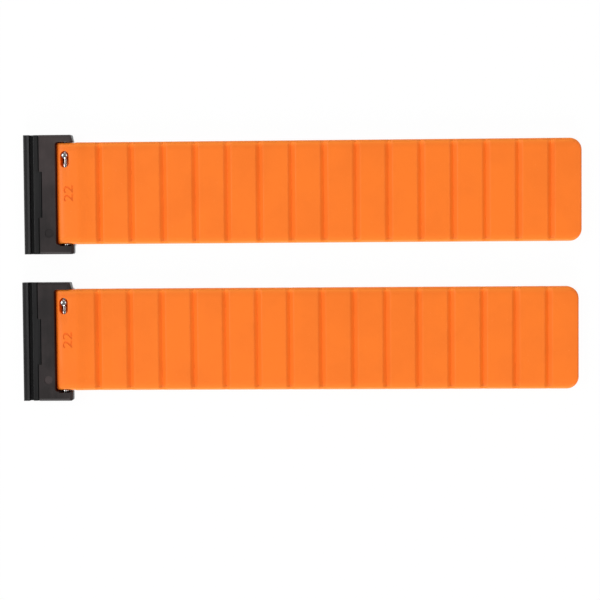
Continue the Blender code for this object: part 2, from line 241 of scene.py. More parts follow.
def flatten(thing):  # large faces shade flat, the small rounds beside them take up the turn
    selectOnly(thing)
    bpy.ops.object.modifier_add(type="WEIGHTED_NORMAL")
    step = thing.modifiers[-1]
    step.keep_sharp = True
    bpy.ops.object.modifier_apply(modifier=step.name)


def markFaces(thing, name, test):  # an attribute that the finish reads
    marks = [float(test(face)) for face in thing.data.polygons]
    thing.data.attributes.new(name, "FLOAT", "FACE").data.foreach_set("value", marks)


def copyTo(thing, name, offset):
    selectOnly(thing)
    bpy.ops.object.duplicate()
    twin = bpy.context.object
    twin.name = name
    twin.data.name = name
    twin.data.transform(Matrix.Translation(offset))
    return twin


# Material helper: a socket that does maths, and adds any other node

class Wire:
    def __init__(self, tree, socket=None):
        self.tree = tree
        self.socket = socket

    def add(self, kind, settings=None, inputs=None, output=0):
        node = self.tree.nodes.new("ShaderNode" + kind)
        for name, value in (settings or {}).items():
            setattr(node, name, value)
        for name, value in (inputs or {}).items():
            if isinstance(value, Wire):
                self.tree.links.new(value.socket, node.inputs[name])
            else:
                node.inputs[name].default_value = value
        return Wire(self.tree, node.outputs[output])

    def sum(self, operation, one, two):
        return self.add("Math", {"operation": operation}, {0: one, 1: two})

    def __add__(self, other):
        return self.sum("ADD", self, other)

    def __radd__(self, other):
        return self.sum("ADD", other, self)

    def __sub__(self, other):
        return self.sum("SUBTRACT", self, other)

    def __rsub__(self, other):
        return self.sum("SUBTRACT", other, self)

    def __mul__(self, other):
        return self.sum("MULTIPLY", self, other)

    def __rmul__(self, other):
        return self.sum("MULTIPLY", other, self)

    def size(self):  # without its sign
        return self.add("Math", {"operation": "ABSOLUTE"}, {0: self})

    def between(self, low, high):  # 0 below low, 1 above high, eased
        ends = {"Value": self, "From Min": low, "From Max": high, "To Min": 0.0, "To Max": 1.0}
        return self.add("MapRange", {"interpolation_type": "SMOOTHSTEP"}, ends)

    def mixed(self, one, two):  # two colours, by this much
        return self.add("Mix", {"data_type": "RGBA"}, {0: self, 6: one, 7: two}, output=2)


def newFinish(name, settings):
    finish = bpy.data.materials.new(name)
    finish.use_nodes = True
    tree = finish.node_tree
    shader = tree.nodes["Principled BSDF"]
    for socket, value in settings.items():
        shader.inputs[socket].default_value = value
    wire = Wire(tree)
    spot = wire.add("TexCoord", output="Object")
    return finish, shader, wire, spot


def feed(shader, links):
    for socket, wire in links.items():
        wire.tree.links.new(wire.socket, shader.inputs[socket])


def noise(wire, spot, size, detail=2.0, roughness=0.5):  # size of one feature in metres
    inputs = {"Vector": spot, "Scale": 1 / size, "Detail": detail, "Roughness": roughness}
    return wire.add("TexNoise", {}, inputs)


def bump(wire, height, distance, strength):
    inputs = {"Height": height, "Distance": distance, "Strength": strength}
    return wire.add("Bump", {}, inputs, output="Normal")


def fromPairMiddle(wire, spot):  # along Y, with its sign: the first half is on the positive side
    return wire.add("SeparateXYZ", {}, {"Vector": spot}, output="Y") - pairMiddleY


# Orange silicone, matte from the mould

silicone = {
    "colour": (0.865, 0.170, 0.0045, 1),
    "deepColour": (0.825, 0.158, 0.003, 1),
    "dustColour": (0.95, 0.33, 0.10, 1),
    "paintedEdgeLight": (0.85, 0.208, 0.012, 1),  # painted light: paler at the edges, for light that comes through the thin silicone there
    "edgeWidth": 1.5 * mm,
    "paintedGlowColour": (0.19, 0.015, 0, 1),  # painted light: a faint glow on shaded walls, for light that comes through the silicone
    "cloudSize": 9 * mm,
    "cloudRange": (0.35, 0.7),  # share of the noise at which it starts, and is full
    "cloudRough": 0.10,
    "grainSize": 0.16 * mm,
    "grainHeight": 0.012 * mm,
    "grainStrength": 0.35,
    "grainRough": 0.08,
    "dustSize": 0.55 * mm,
    "dustRange": (0.70, 0.80),
    "dustShare": 0.12,
    "roughness": 0.50,
    "shine": 0.39,
}


def makeSilicone():
    constants = {"Specular IOR Level": silicone["shine"], "Emission Strength": 1.0}
    finish, shader, wire, spot = newFinish("orange_silicone", constants)
    cloud = noise(wire, spot, silicone["cloudSize"], detail=3.0).between(*silicone["cloudRange"])
    grain = noise(wire, spot, silicone["grainSize"], detail=3.0, roughness=0.6)
    dust = noise(wire, spot, silicone["dustSize"], detail=1.0).between(*silicone["dustRange"])
    fromStrapMiddle = (fromPairMiddle(wire, spot).size() - abs(toSecondStrap.y) / 2).size()
    # painted light: the colour pales towards the strap's sides
    edge = fromStrapMiddle.between(strapHalf - silicone["edgeWidth"], strapHalf)
    body = edge.mixed(cloud.mixed(silicone["colour"], silicone["deepColour"]), silicone["paintedEdgeLight"])
    colour = (dust * silicone["dustShare"]).mixed(body, silicone["dustColour"])
    rough = silicone["roughness"] + silicone["cloudRough"] * cloud + silicone["grainRough"] * grain
    # painted light: the shaded walls of the lug glow faintly
    shaded = wire.add("Attribute", {"attribute_name": "shaded"}, output="Fac")
    through = shaded.mixed((0, 0, 0, 1), silicone["paintedGlowColour"])
    relief = bump(wire, grain, silicone["grainHeight"], silicone["grainStrength"])
    feed(shader, {"Base Color": colour, "Roughness": rough, "Emission Color": through, "Normal": relief})
    return finish


# Black plastic of the connectors, satin, with flow lines along its length

plastic = {
    "colour": (0.0055, 0.0053, 0.0056, 1),
    "paleColour": (0.0105, 0.0100, 0.0105, 1),
    "matteColour": (0.0072, 0.0043, 0.0044, 1),
    "matteLight": (0.0365, 0.0255, 0.0255, 1),
    "grainSize": 0.10 * mm,
    "grainHeight": 0.01 * mm,
    "grainStrength": 0.3,
    "grainRough": 0.08,
    "flowSize": 0.9 * mm,
    "flowStretch": 0.06,  # drawn out along the connector
    "flowRange": (0.3, 0.75),
    "flowShare": 0.55,  # of the pale colour, on polished faces
    "flowTone": 0.2,  # the tones add up to the plate's lightness
    "flowRough": 0.08,
    "mottleSize": 5.0 * mm,
    "mottleRange": (0.35, 0.65),
    "mottleTone": 0.35,
    "paleFrom": 4 * mm,  # from the middle of the pair: the first half's plate gets paler from here on
    "paleTo": 28 * mm,
    "paleTone": 0.6,
    "darkTone": 0.08,
    "roughness": 0.28,
    "matteRoughness": 0.50,
    "shine": 0.36,
}


def makePlastic():
    finish, shader, wire, spot = newFinish("black_plastic", {"Specular IOR Level": plastic["shine"]})
    drawn = wire.add("Mapping", {}, {"Vector": spot, "Scale": (1, plastic["flowStretch"], 1)})
    flow = noise(wire, drawn, plastic["flowSize"], detail=4.0, roughness=0.6).between(*plastic["flowRange"])
    grain = noise(wire, spot, plastic["grainSize"])
    matte = wire.add("Attribute", {"attribute_name": "matte"}, output="Fac")
    polished = (plastic["flowShare"] * flow).mixed(plastic["colour"], plastic["paleColour"])
    mottle = noise(wire, spot, plastic["mottleSize"], detail=3.0).between(*plastic["mottleRange"])
    outer = fromPairMiddle(wire, spot).between(plastic["paleFrom"], plastic["paleTo"])
    mark = wire.add("Attribute", {"attribute_name": "mark"}, output="Fac")
    light = plastic["mottleTone"] * mottle + plastic["flowTone"] * flow + plastic["paleTone"] * outer
    light = light + mark - plastic["darkTone"]
    plate = light.mixed(plastic["matteColour"], plastic["matteLight"])
    colour = matte.mixed(polished, plate)
    roughMore = plastic["matteRoughness"] - plastic["roughness"]
    rough = plastic["roughness"] + roughMore * matte
    rough = rough + plastic["flowRough"] * flow + plastic["grainRough"] * grain
    relief = bump(wire, grain, plastic["grainHeight"], plastic["grainStrength"])
    feed(shader, {"Base Color": colour, "Roughness": rough, "Normal": relief})
    return finish


# Polished steel of the spring bars, with turning marks round the bar

steel = {
    "colour": (0.45, 0.438, 0.428, 1),
    "darkColour": (0.28, 0.272, 0.265, 1),
    "markSize": 0.05 * mm,
    "markStretch": 0.08,  # drawn out round the bar
    "markHeight": 0.002 * mm,
    "markStrength": 0.25,
    "markRough": 0.06,
    "scuffSize": 0.6 * mm,
    "scuffRange": (0.45, 0.75),
    "scuffShare": 0.6,
    "scuffRough": 0.08,
    "roughness": 0.06,
}


def makeSteel():
    finish, shader, wire, spot = newFinish("polished_steel", {"Metallic": 1.0})
    stretch = steel["markStretch"]
    across = wire.add("Mapping", {}, {"Vector": spot, "Scale": (stretch, 1, stretch)})
    marks = noise(wire, across, steel["markSize"])
    scuff = noise(wire, spot, steel["scuffSize"], detail=3.0).between(*steel["scuffRange"])
    colour = (steel["scuffShare"] * scuff).mixed(steel["colour"], steel["darkColour"])
    rough = steel["roughness"] + steel["markRough"] * marks + steel["scuffRough"] * scuff
    relief = bump(wire, marks, steel["markHeight"], steel["markStrength"])
    feed(shader, {"Base Color": colour, "Roughness": rough, "Normal": relief})
    return finish


# Nickel plate of the magnets, lapped along their length

nickel = {
    "colour": (0.60, 0.58, 0.54, 1),
    "dullColour": (0.42, 0.40, 0.37, 1),
    "lapSize": 0.08 * mm,
    "lapStretch": 0.05,  # drawn out along the magnet
    "lapHeight": 0.003 * mm,
    "lapStrength": 0.3,
    "lapRough": 0.15,
    "stainSize": 1.8 * mm,
    "stainRange": (0.45, 0.7),
    "stainRough": 0.12,
    "roughness": 0.28,
}


def makeNickel():
    finish, shader, wire, spot = newFinish("nickel_plate", {"Metallic": 1.0})
    along = wire.add("Mapping", {}, {"Vector": spot, "Scale": (1, nickel["lapStretch"], 1)})
    laps = noise(wire, along, nickel["lapSize"])
    stain = noise(wire, spot, nickel["stainSize"], detail=4.0).between(*nickel["stainRange"])
    colour = stain.mixed(nickel["colour"], nickel["dullColour"])
    rough = nickel["roughness"] + nickel["lapRough"] * laps + nickel["stainRough"] * stain
    relief = bump(wire, laps, nickel["lapHeight"], nickel["lapStrength"])
    feed(shader, {"Base Color": colour, "Roughness": rough, "Normal": relief})
    return finish


finishes = {
    "orange_silicone": makeSilicone(),
    "black_plastic": makePlastic(),
    "polished_steel": makeSteel(),
    "nickel_plate": makeNickel(),
}
print("finishes made:", ", ".join(finishes))


def dress(thing, slotName):
    thing.data.materials.clear()
    thing.data.materials.append(finishes[slotName])


# Strap: each moulding runs from the middle of one block to the middle of the next, over a groove

strap = {
    "edgeRound": 0.6 * mm,
    "edgeSteps": 8,
    "grooveWidth": 2.15 * mm,
    "grooveCore": 1.25 * mm,  # between the tops of the straight walls
    "grooveFoot": 0.16 * mm,  # across its rounded bottom
    "grooveSteep": 44,  # degrees
    "grooveSteps": 7,
    "footSteps": 2,
    "grooveShift": 0.47 * mm,  # past the bending line
    "sideRows": (  # distance from the side, share of the groove's depth, fall of the face
        (2.0 * mm, 1.0, 0), (1.6 * mm, 0.98, 0.015 * mm), (1.3 * mm, 0.94, 0.04 * mm),
        (1.0 * mm, 0.87, 0.075 * mm), (0.75 * mm, 0.78, 0.11 * mm),
    ),
    "rimShare": 0.65,
    "flatMargin": 0.15 * mm,  # rows close to a round, so that the flat beside it shades flat
    "endCorner": 2.6 * mm,
    "endSteps": 12,
    "smoothOver": 40,
}


def grooveFall(away):  # steepness of the groove's wall, at a distance from its middle
    half = strap["grooveWidth"] / 2
    core = strap["grooveCore"] / 2
    foot = strap["grooveFoot"] / 2
    steep = math.tan(math.radians(strap["grooveSteep"]))
    if away < foot:
        return steep * away / foot
    if away < core:
        return steep
    return steep * math.cos((away - core) / (half - core) * math.pi / 2) ** 2


def grooveRows(hingeX):  # (x, depth) across one groove: a rounded bottom, walls that ease into the blocks
    half = strap["grooveWidth"] / 2
    core = strap["grooveCore"] / 2
    foot = strap["grooveFoot"] / 2
    steps = strap["grooveSteps"]
    places = [half + (core - half) * step / steps for step in range(steps + 1)]
    places += [foot * step / strap["footSteps"] for step in range(strap["footSteps"], -1, -1)]
    profile = [(half + strap["flatMargin"], 0), (half, 0)]
    for outer, inner in zip(places, places[1:]):
        cut = profile[-1][1] + (outer - inner) * (grooveFall(outer) + grooveFall(inner)) / 2
        profile.append((inner, cut))
    middle = hingeX + strap["grooveShift"]
    rows = [(middle, profile[-1][1])]
    return rows + [(middle + side * away, cut) for away, cut in profile[:-1] for side in (-1, 1)]


def sideBands():  # rows beside the sides, and the rim outside them: (inner, outer, share, fall)
    rows = [(strapHalf - fromSide, share, fall) for fromSide, share, fall in strap["sideRows"]]
    bands = [(half - near, half + near, share, fall) for half, share, fall in rows]
    return bands + [(rows[-1][0] + near, strapHalf + near, strap["rimShare"], rows[-1][2])]


def strapBlank(name, startX, endX, roundEnd):
    blank = addBox(name, (startX, centreY - strapHalf, 0), (endX, centreY + strapHalf, strapThick))
    startEdit(blank)
    if roundEnd:
        pick(blank, "EDGE", lambda e: all(abs(v.co.x - endX) < near for v in e.verts)
             and abs(e.verts[0].co.z - e.verts[1].co.z) > near)
        bpy.ops.mesh.bevel(offset=strap["endCorner"], segments=strap["endSteps"], clamp_overlap=False)

    def isRim(edge):
        one, two = (v.co for v in edge.verts)
        if abs(one.z - two.z) > near or (abs(one.x - startX) < near and abs(two.x - startX) < near):
            return False
        return roundEnd or abs(one.x - two.x) > near

    pick(blank, "EDGE", isRim)
    bpy.ops.mesh.bevel(offset=strap["edgeRound"], segments=strap["edgeSteps"], clamp_overlap=False)
    for fromSide, share, fall in strap["sideRows"]:
        for side in (-1, 1):
            rowY = centreY + side * (strapHalf - fromSide)
            bpy.ops.mesh.select_all(action="SELECT")
            bpy.ops.mesh.bisect(plane_co=(0, rowY, 0), plane_no=(0, 1, 0), threshold=cutWithin)
    for inner, outer, share, fall in sideBands():
        pick(blank, "VERT", lambda v: inner < abs(v.co.y - centreY) < outer)
        grow = 1 - 2 * fall / strapThick
        bpy.ops.transform.resize(value=(1, 1, grow), center_override=(0, centreY, strapThick / 2))
    stopEdit()
    return blank


def cutRows(places):  # a row of points at each x, in edit mode
    for x in places:
        bpy.ops.mesh.select_all(action="SELECT")
        bpy.ops.mesh.bisect(plane_co=(x, 0, 0), plane_no=(1, 0, 0), threshold=cutWithin)


def shapeRows(piece, rows):  # draw whole rows to their height and width: (x, lowest, highest, half width)
    startEdit(piece)
    cutRows([row[0] for row in rows])
    for x, low, high, half in rows:
        pick(piece, "VERT", lambda v: abs(v.co.x - x) < rowWithin)
        grow = (1, half / strapHalf, (high - low) / strapThick)
        bpy.ops.transform.resize(value=grow, center_override=(x, centreY, 0))
        bpy.ops.transform.translate(value=(0, 0, low))
    stopEdit()


def shapeGroove(piece, hingeX):  # draw rows in from both faces, less and less towards the sides
    rows = grooveRows(hingeX)
    startEdit(piece)
    cutRows([row[0] for row in rows])
    for x, cut in rows:
        for inner, outer, share, fall in sideBands():
            def inBand(vert):
                return abs(vert.co.x - x) < rowWithin and inner < abs(vert.co.y - centreY) < outer

            pick(piece, "VERT", inBand)
            grow = 1 - 2 * cut * share / (strapThick - 2 * fall)
            bpy.ops.transform.resize(value=(1, 1, grow), center_override=(x, centreY, strapThick / 2))
    stopEdit()


# Lug: thicker, narrower between the ears, with a bore for the bar and a window for the knob

lug = {
    "radius": barAxis.z,  # the bar lies at half the lug's height
    "back": 1.9 * mm,  # behind the bar axis
    "half": tubeHalf + 0.40 * mm,  # its width reaches a little past the tube's ends
    "cornerRound": 0.5 * mm,
    "backTurns": (6, 14, 23, 33, 44, 55, 66, 78, 90),  # degrees round the back, a row at each
    "shoulderStart": 2.2 * mm,  # past the bar axis
    "shoulderEnd": 2.7 * mm,
    "shoulderSteps": 4,
    "slopeStart": 3.1 * mm,
    "slopeEase": 0.5 * mm,
    "easeSteps": 3,
    "slopeRows": (4.2 * mm, 5.3 * mm),  # further rows down the slope
    "bore": 0.95 * mm,
    "boreSides": 48,
    "windowRadius": 0.95 * mm,
    "windowRim": 0.25 * mm,
    "rimSteps": 3,
    "windowSides": 32,
    "wallTilt": 0.1,  # the rim lies where a wall, whose normal rises less than this,
    "topTilt": 0.5,  # meets a face whose normal rises more than this
    "shadedFrom": 1.2 * mm,  # behind the bar axis
    "shadedTilt": 0.6,
}
sizeNumber = {
    "text": "22",
    "height": 2.0 * mm,
    "length": 3.5 * mm,
    "pastBar": 0.8 * mm,
    "depth": 0.16 * mm,
    "curveSteps": 6,
}
knob = {
    "fromTubeEnd": 2.1 * mm,
    "travel": 1.5 * mm,
    "stemRadius": 0.3 * mm,
    "neckRadius": 0.36 * mm,
    "neckHeight": 0.1 * mm,
    "headLow": 0.95 * mm,  # above the bar axis
    "headRadius": 0.7 * mm,
    "headEdge": 0.06 * mm,
    "dome": 0.34 * mm,
    "domeSteps": 7,
    "domeTurn": 86,  # degrees, so that a small flat is left on top
}
knobY = tubeEnd - knob["fromTubeEnd"]
strapSlip = (toSecondStrap - toSecondBar).y  # how far the second strap lies along its bar, against the first
windowHigh = knobY + lug["windowRadius"]
windowLow = knobY - knob["travel"] - strapSlip - lug["windowRadius"]  # suits both halves
windowY = (windowLow + windowHigh) / 2


def lugTop(away):  # height of the wrist side, at a distance past the bar axis
    highest = 2 * lug["radius"]
    slopeEnd = pitch - strap["grooveWidth"] / 2
    fall = (highest - strapThick) / (slopeEnd - lug["slopeStart"])
    past = away - lug["slopeStart"]
    ease = lug["slopeEase"]
    if past < -ease:
        return highest
    if past < ease:
        return highest - fall * (past + ease) ** 2 / (4 * ease)
    return highest - fall * past


def lugRows():
    rows = []
    for turn in lug["backTurns"]:
        away = -lug["back"] * math.cos(math.radians(turn))
        half = lug["radius"] * math.sin(math.radians(turn))
        into = max(0, lug["cornerRound"] - lug["back"] - away)
        inset = lug["cornerRound"] - math.sqrt(lug["cornerRound"] ** 2 - into**2)
        rows.append((away, lug["radius"] - half, lug["radius"] + half, lug["half"] - inset))
    ease, easeSteps = lug["slopeEase"], lug["easeSteps"]
    start, end, steps = lug["shoulderStart"], lug["shoulderEnd"], lug["shoulderSteps"]
    shoulder = [start + (end - start) * step / steps for step in range(steps + 1)]
    slope = [lug["slopeStart"] + ease * step / easeSteps for step in range(-1, easeSteps + 1)]
    for away in (*shoulder, *slope, *lug["slopeRows"]):
        share = min(1, max(0, (away - shoulder[0]) / (shoulder[-1] - shoulder[0])))
        half = lug["half"] + (strapHalf - lug["half"]) * (1 - math.cos(math.pi * share)) / 2
        rows.append((away, 0, lugTop(away), half))
    return [(barAxis.x + away, low, high, half) for away, low, high, half in rows]


def cutNumber(piece):
    bpy.ops.object.select_all(action="DESELECT")
    bpy.ops.object.text_add()
    digits = bpy.context.object
    digits.data.body = sizeNumber["text"]
    digits.data.align_x = "CENTER"
    digits.data.extrude = 1.0  # any height: it is scaled to its depth
    digits.data.resolution_u = sizeNumber["curveSteps"]
    bpy.ops.object.convert(target="MESH")
    digits = bpy.context.object
    low = Vector(map(min, zip(*(v.co for v in digits.data.vertices))))
    high = Vector(map(max, zip(*(v.co for v in digits.data.vertices))))
    size = high - low
    middle = (low + high) / 2
    place = Vector((barAxis.x + sizeNumber["pastBar"], centreY, 2 * lug["radius"]))
    grow = Matrix.Diagonal((sizeNumber["length"] / size.x, sizeNumber["height"] / size.y,
                            2 * sizeNumber["depth"] / size.z, 1))
    turn = Matrix.Rotation(math.radians(90), 4, "Z")
    digits.data.transform(Matrix.Translation(place) @ turn @ grow @ Matrix.Translation(-middle))
    startEdit(digits)
    stopEdit()
    cutWith(piece, digits)


def softenWindow(piece):
    def isRim(edge):
        alongY = max(abs(v.co.y - windowY) for v in edge.verts)
        alongX = max(abs(v.co.x - barAxis.x) for v in edge.verts)
        if len(edge.link_faces) != 2 or alongY > windowHigh - windowY + near:
            return False
        if alongX > lug["windowRadius"] + near:
            return False
        wallUp, topUp = sorted(face.normal.z for face in edge.link_faces)
        return wallUp < lug["wallTilt"] and topUp > lug["topTilt"]

    startEdit(piece)
    pick(piece, "EDGE", isRim)
    bpy.ops.mesh.bevel(offset=lug["windowRim"], segments=lug["rimSteps"], clamp_overlap=True)
    stopEdit()


def isShaded(face):  # walls of window and bore, and the back that faces the connector: these get the painted glow
    away = face.center - barAxis
    rim = lug["windowRim"] / 2
    alongWindow = abs(face.center.y - windowY) < windowHigh - windowY + rim
    inWindow = abs(away.x) < lug["windowRadius"] + rim and alongWindow
    atBack = away.x < -lug["shadedFrom"]
    inBore = away.xz.length < lug["bore"] + near
    return inBore or ((inWindow or atBack) and abs(face.normal.z) < lug["shadedTilt"])


def makeLug():
    startX = barAxis.x - lug["back"] * math.cos(math.radians(lug["backTurns"][0]))
    piece = strapBlank("silicone_a_01", startX, grooves[0].x + pitch / 2, False)
    shapeRows(piece, lugRows())
    shapeGroove(piece, grooves[0].x)
    reach = Vector((0, strapHalf * 2, 0))
    cutWith(piece, addRod("bore", lug["bore"], barAxis - reach, barAxis + reach, lug["boreSides"]))
    height = 2 * lug["radius"]
    windowAt = (barAxis.x, windowY, barAxis.z + height / 2)
    length = windowHigh - windowLow
    cutWith(piece, addSlot("window", windowAt, lug["windowRadius"], length, height, lug["windowSides"]))
    softenWindow(piece)
    cutNumber(piece)
    smooth(piece, strap["smoothOver"])
    markFaces(piece, "shaded", isShaded)
    return piece


def makeLink():
    middle = grooves[1].x
    piece = strapBlank("silicone_a_02", middle - pitch / 2, middle + pitch / 2, False)
    shapeGroove(piece, middle)
    smooth(piece, strap["smoothOver"])
    return piece


def makeEnd():
    middle = grooves[-1].x
    piece = strapBlank("silicone_a_15", middle - pitch / 2, middle + pitch, True)
    shapeGroove(piece, middle)
    smooth(piece, strap["smoothOver"])
    return piece


mouldings = [makeLug(), makeLink()]
for number in range(3, len(grooves)):
    offset = Vector(((number - 2) * pitch, 0, 0))
    mouldings.append(copyTo(mouldings[1], f"silicone_a_{number:02d}", offset))
mouldings.append(makeEnd())


def joinToStrap(piece, letter, number, offset):
    before = f"block_{letter}_{number - 1:02d}" if number > 1 else f"lug_{letter}"
    middle = grooves[number - 1] + offset
    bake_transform(piece)
    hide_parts(f"strap_block_{letter}_{number:02d}")
    if number == 1:
        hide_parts(f"strap_lug_{letter}")
    dress(piece, "orange_silicone")


for number, piece in enumerate(mouldings, start=1):
    twin = copyTo(piece, f"silicone_b_{number:02d}", toSecondStrap)
    joinToStrap(piece, "a", number, Vector())
    joinToStrap(twin, "b", number, toSecondStrap)
print("strap mouldings made:", 2 * len(mouldings))


# Connector: nose with its lip, rail groove, ledge, plate and two ears

connectorLow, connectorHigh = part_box("connector_a")
connector = {
    "earInside": (-10.92 * mm, 11.45 * mm),  # from the connector's middle
    "earRound": 1.2 * mm,
    "earCorner": 0.5 * mm,
    "earTaper": (0.38 * mm, 1.4 * mm),  # on the release side's ear
    "noseRound": 1.1 * mm,
    "lipWidth": 1.3 * mm,
    "lipDrop": 0.4 * mm,
    "lipEdge": 0.3 * mm,
    "lipSlope": (0.5 * mm, 0.22 * mm),  # how far its inner edge falls away: across, down
    "railWidth": 0.8 * mm,
    "railDepth": 2.0 * mm,
    "ledgeWidth": 1.4 * mm,
    "ledgeDepth": 1.0 * mm,
    "lugGap": 0.15 * mm,
    "cradleTurns": (180, 250),  # degrees round the bar, from the wall down
    "cradleSteps": 18,
    "pocketCorner": 0.6 * mm,
    "pocketSteps": 6,
    "endRound": 0.75 * mm,
    "notchLength": 10.0 * mm,
    "notchDepth": 0.65 * mm,
    "reliefWidth": 0.4 * mm,
    "reliefDepth": 0.35 * mm,
    "markDiameter": 1.9 * mm,
    "markFromEnd": 4.6 * mm,
    "markDepth": 0.1 * mm,
    "markTilt": 0.9,  # the normal of its floor rises more than this
    "markTones": {"a": -0.25, "b": 0.7},  # darker on one half, paler on the other
    "recessRadius": 1.25 * mm,  # round the bar in the other ear, open above, for the bar's collar
    "recessDepth": 0.28 * mm,
    "recessSteps": 24,
    "hole": 0.6 * mm,
    "holeEnd": 12.7 * mm,  # from the connector's middle
    "sides": 32,  # of holes and mark
    "smoothOver": 35,
    "edge": 0.1 * mm,
    "edgeSteps": 3,
    "flatWithin": 0.1,  # degrees: faces that lie in one plane are made one
    "past": 1.0 * mm,  # how far cutters reach past what they cut
    "spare": 0.03 * mm,  # keeps faces that trim each other from lying in one plane
    "trim": 0.01 * mm,  # the same, where a round runs into a flat
}


def connectorSide():  # side view, from the ear's tip round the nose and back along the top
    nose, ear = connectorLow.x, connectorHigh.x
    top = connectorHigh.z + connector["spare"]
    bottom = connectorLow.z - connector["spare"]
    lipEnd = nose + connector["lipWidth"]
    railEnd = lipEnd + connector["railWidth"]
    plateStart = railEnd + connector["ledgeWidth"]
    lipTop = connectorHigh.z - connector["lipDrop"]
    railFloor = connectorHigh.z - connector["railDepth"]
    ledgeTop = connectorHigh.z - connector["ledgeDepth"]
    across, down = connector["lipSlope"]
    edge = connector["edge"]
    corners = [
        (ear, bottom, connector["earRound"]),
        (nose, bottom, connector["noseRound"]),
        (nose, lipTop, connector["lipEdge"]),
        (lipEnd - across, lipTop, edge), (lipEnd, lipTop - down, edge),
        (lipEnd, railFloor, edge), (railEnd, railFloor, edge),
        (railEnd, ledgeTop, edge), (plateStart, ledgeTop, 0), (plateStart, top, edge),
        (ear, top, connector["earRound"]),
    ]
    return roundCorners(corners), plateStart, ledgeTop


def connectorEnds():  # trims the height, and rounds the edges of the two ends
    past, turn = connector["past"], connector["endRound"]
    endLow, endHigh = connectorLow.y - connector["trim"], connectorHigh.y + connector["trim"]
    corners = [(y, z, turn) for z in (connectorLow.z, connectorHigh.z) for y in (endLow, endHigh)]
    corners[2:] = reversed(corners[2:])
    ends = drawOut("ends", roundCorners(corners), -connectorHigh.x - past, -connectorLow.x + past)
    ends.data.transform(Matrix.Rotation(math.radians(90), 4, "Z"))
    return ends


def connectorPlan():  # trims the length, and shapes the outer corners of the ears
    past, corner = connector["past"], connector["earCorner"]
    farX = connectorHigh.x - connector["spare"]
    across, along = connector["earTaper"]
    corners = [
        (connectorLow.x - past, -connectorLow.y, 0), (farX, -connectorLow.y, corner),
        (farX, along - connectorHigh.y, corner), (farX - across, -connectorHigh.y, corner / 2),
        (connectorLow.x - past, -connectorHigh.y, 0),
    ]
    plan = drawOut("plan", roundCorners(corners), connectorLow.z - past, connectorHigh.z + past)
    plan.data.transform(Matrix.Rotation(math.radians(90), 4, "X"))
    return plan


# Room for the lug: a wall with a cradle under it, open below
def pocketCutter(plateEnd, reach, roomLow, roomHigh):
    past = connector["past"]
    farX = connectorHigh.x + past
    outline = [(farX, -past), (farX, connectorHigh.z + past), (plateEnd, connectorHigh.z + past)]
    outline += arcOf((barAxis.x, barAxis.z), reach, *connector["cradleTurns"], connector["cradleSteps"])
    cutter = drawOut("pocket", outline, roomLow, roomHigh)

    def isInnerCorner(edge):  # where wall and cradle meet the ears
        one, two = (v.co for v in edge.verts)
        return abs(one.y - two.y) < near and max(one.x, two.x) < barAxis.x

    startEdit(cutter)
    pick(cutter, "EDGE", isInnerCorner)
    corner, steps = connector["pocketCorner"], connector["pocketSteps"]
    bpy.ops.mesh.bevel(offset=corner, segments=steps, clamp_overlap=False)
    stopEdit()
    return cutter


def recessCutter(roomLow):
    radius, depth = connector["recessRadius"], connector["recessDepth"]
    top = connectorHigh.z + connector["past"]
    belowBar = arcOf((barAxis.x, barAxis.z), radius, 180, 360, connector["recessSteps"])
    outline = [(barAxis.x - radius, top), *belowBar, (barAxis.x + radius, top)]
    return drawOut("recess", outline, roomLow - depth, roomLow + depth)


def softenPocket(piece, plateEnd, roomLow, roomHigh):
    def inPocket(face):
        middle = face.calc_center_median()
        return middle.x > plateEnd - near and roomLow - near < middle.y < roomHigh + near

    def isRim(edge):
        fromBar = (edge.verts[0].co - barAxis).xz.length
        return sum(inPocket(face) for face in edge.link_faces) == 1 and fromBar > connector["hole"] + near

    startEdit(piece)
    pick(piece, "EDGE", isRim)
    bpy.ops.mesh.bevel(offset=connector["edge"], segments=connector["edgeSteps"], clamp_overlap=False)
    stopEdit()


# The notch in the plate, and a relief line at the foot of its wall
def cutLedge(piece, plateStart, ledgeTop):
    past, spare = connector["past"], connector["spare"]
    top = connectorHigh.z + past
    notchLow, notchHigh = (barAxis.y + side * connector["notchLength"] / 2 for side in (-1, 1))
    notchWall = plateStart + connector["notchDepth"]
    notchStart = (plateStart - 2 * spare, notchLow, ledgeTop - spare)
    cutWith(piece, addBox("notch", notchStart, (notchWall, notchHigh, top)))
    floor = ledgeTop - connector["reliefDepth"]
    reliefTop = ledgeTop + 2 * spare
    parts = (
        (plateStart, connectorLow.y - 2 * past, notchLow - spare),
        (notchWall, notchLow + spare, notchHigh - spare),
        (plateStart, notchHigh + spare, connectorHigh.y + 2 * past),
    )
    for wall, startY, endY in parts:
        start = (wall - connector["reliefWidth"], startY, floor)
        cutWith(piece, addBox("relief", start, (wall + spare, endY, reliefTop)))


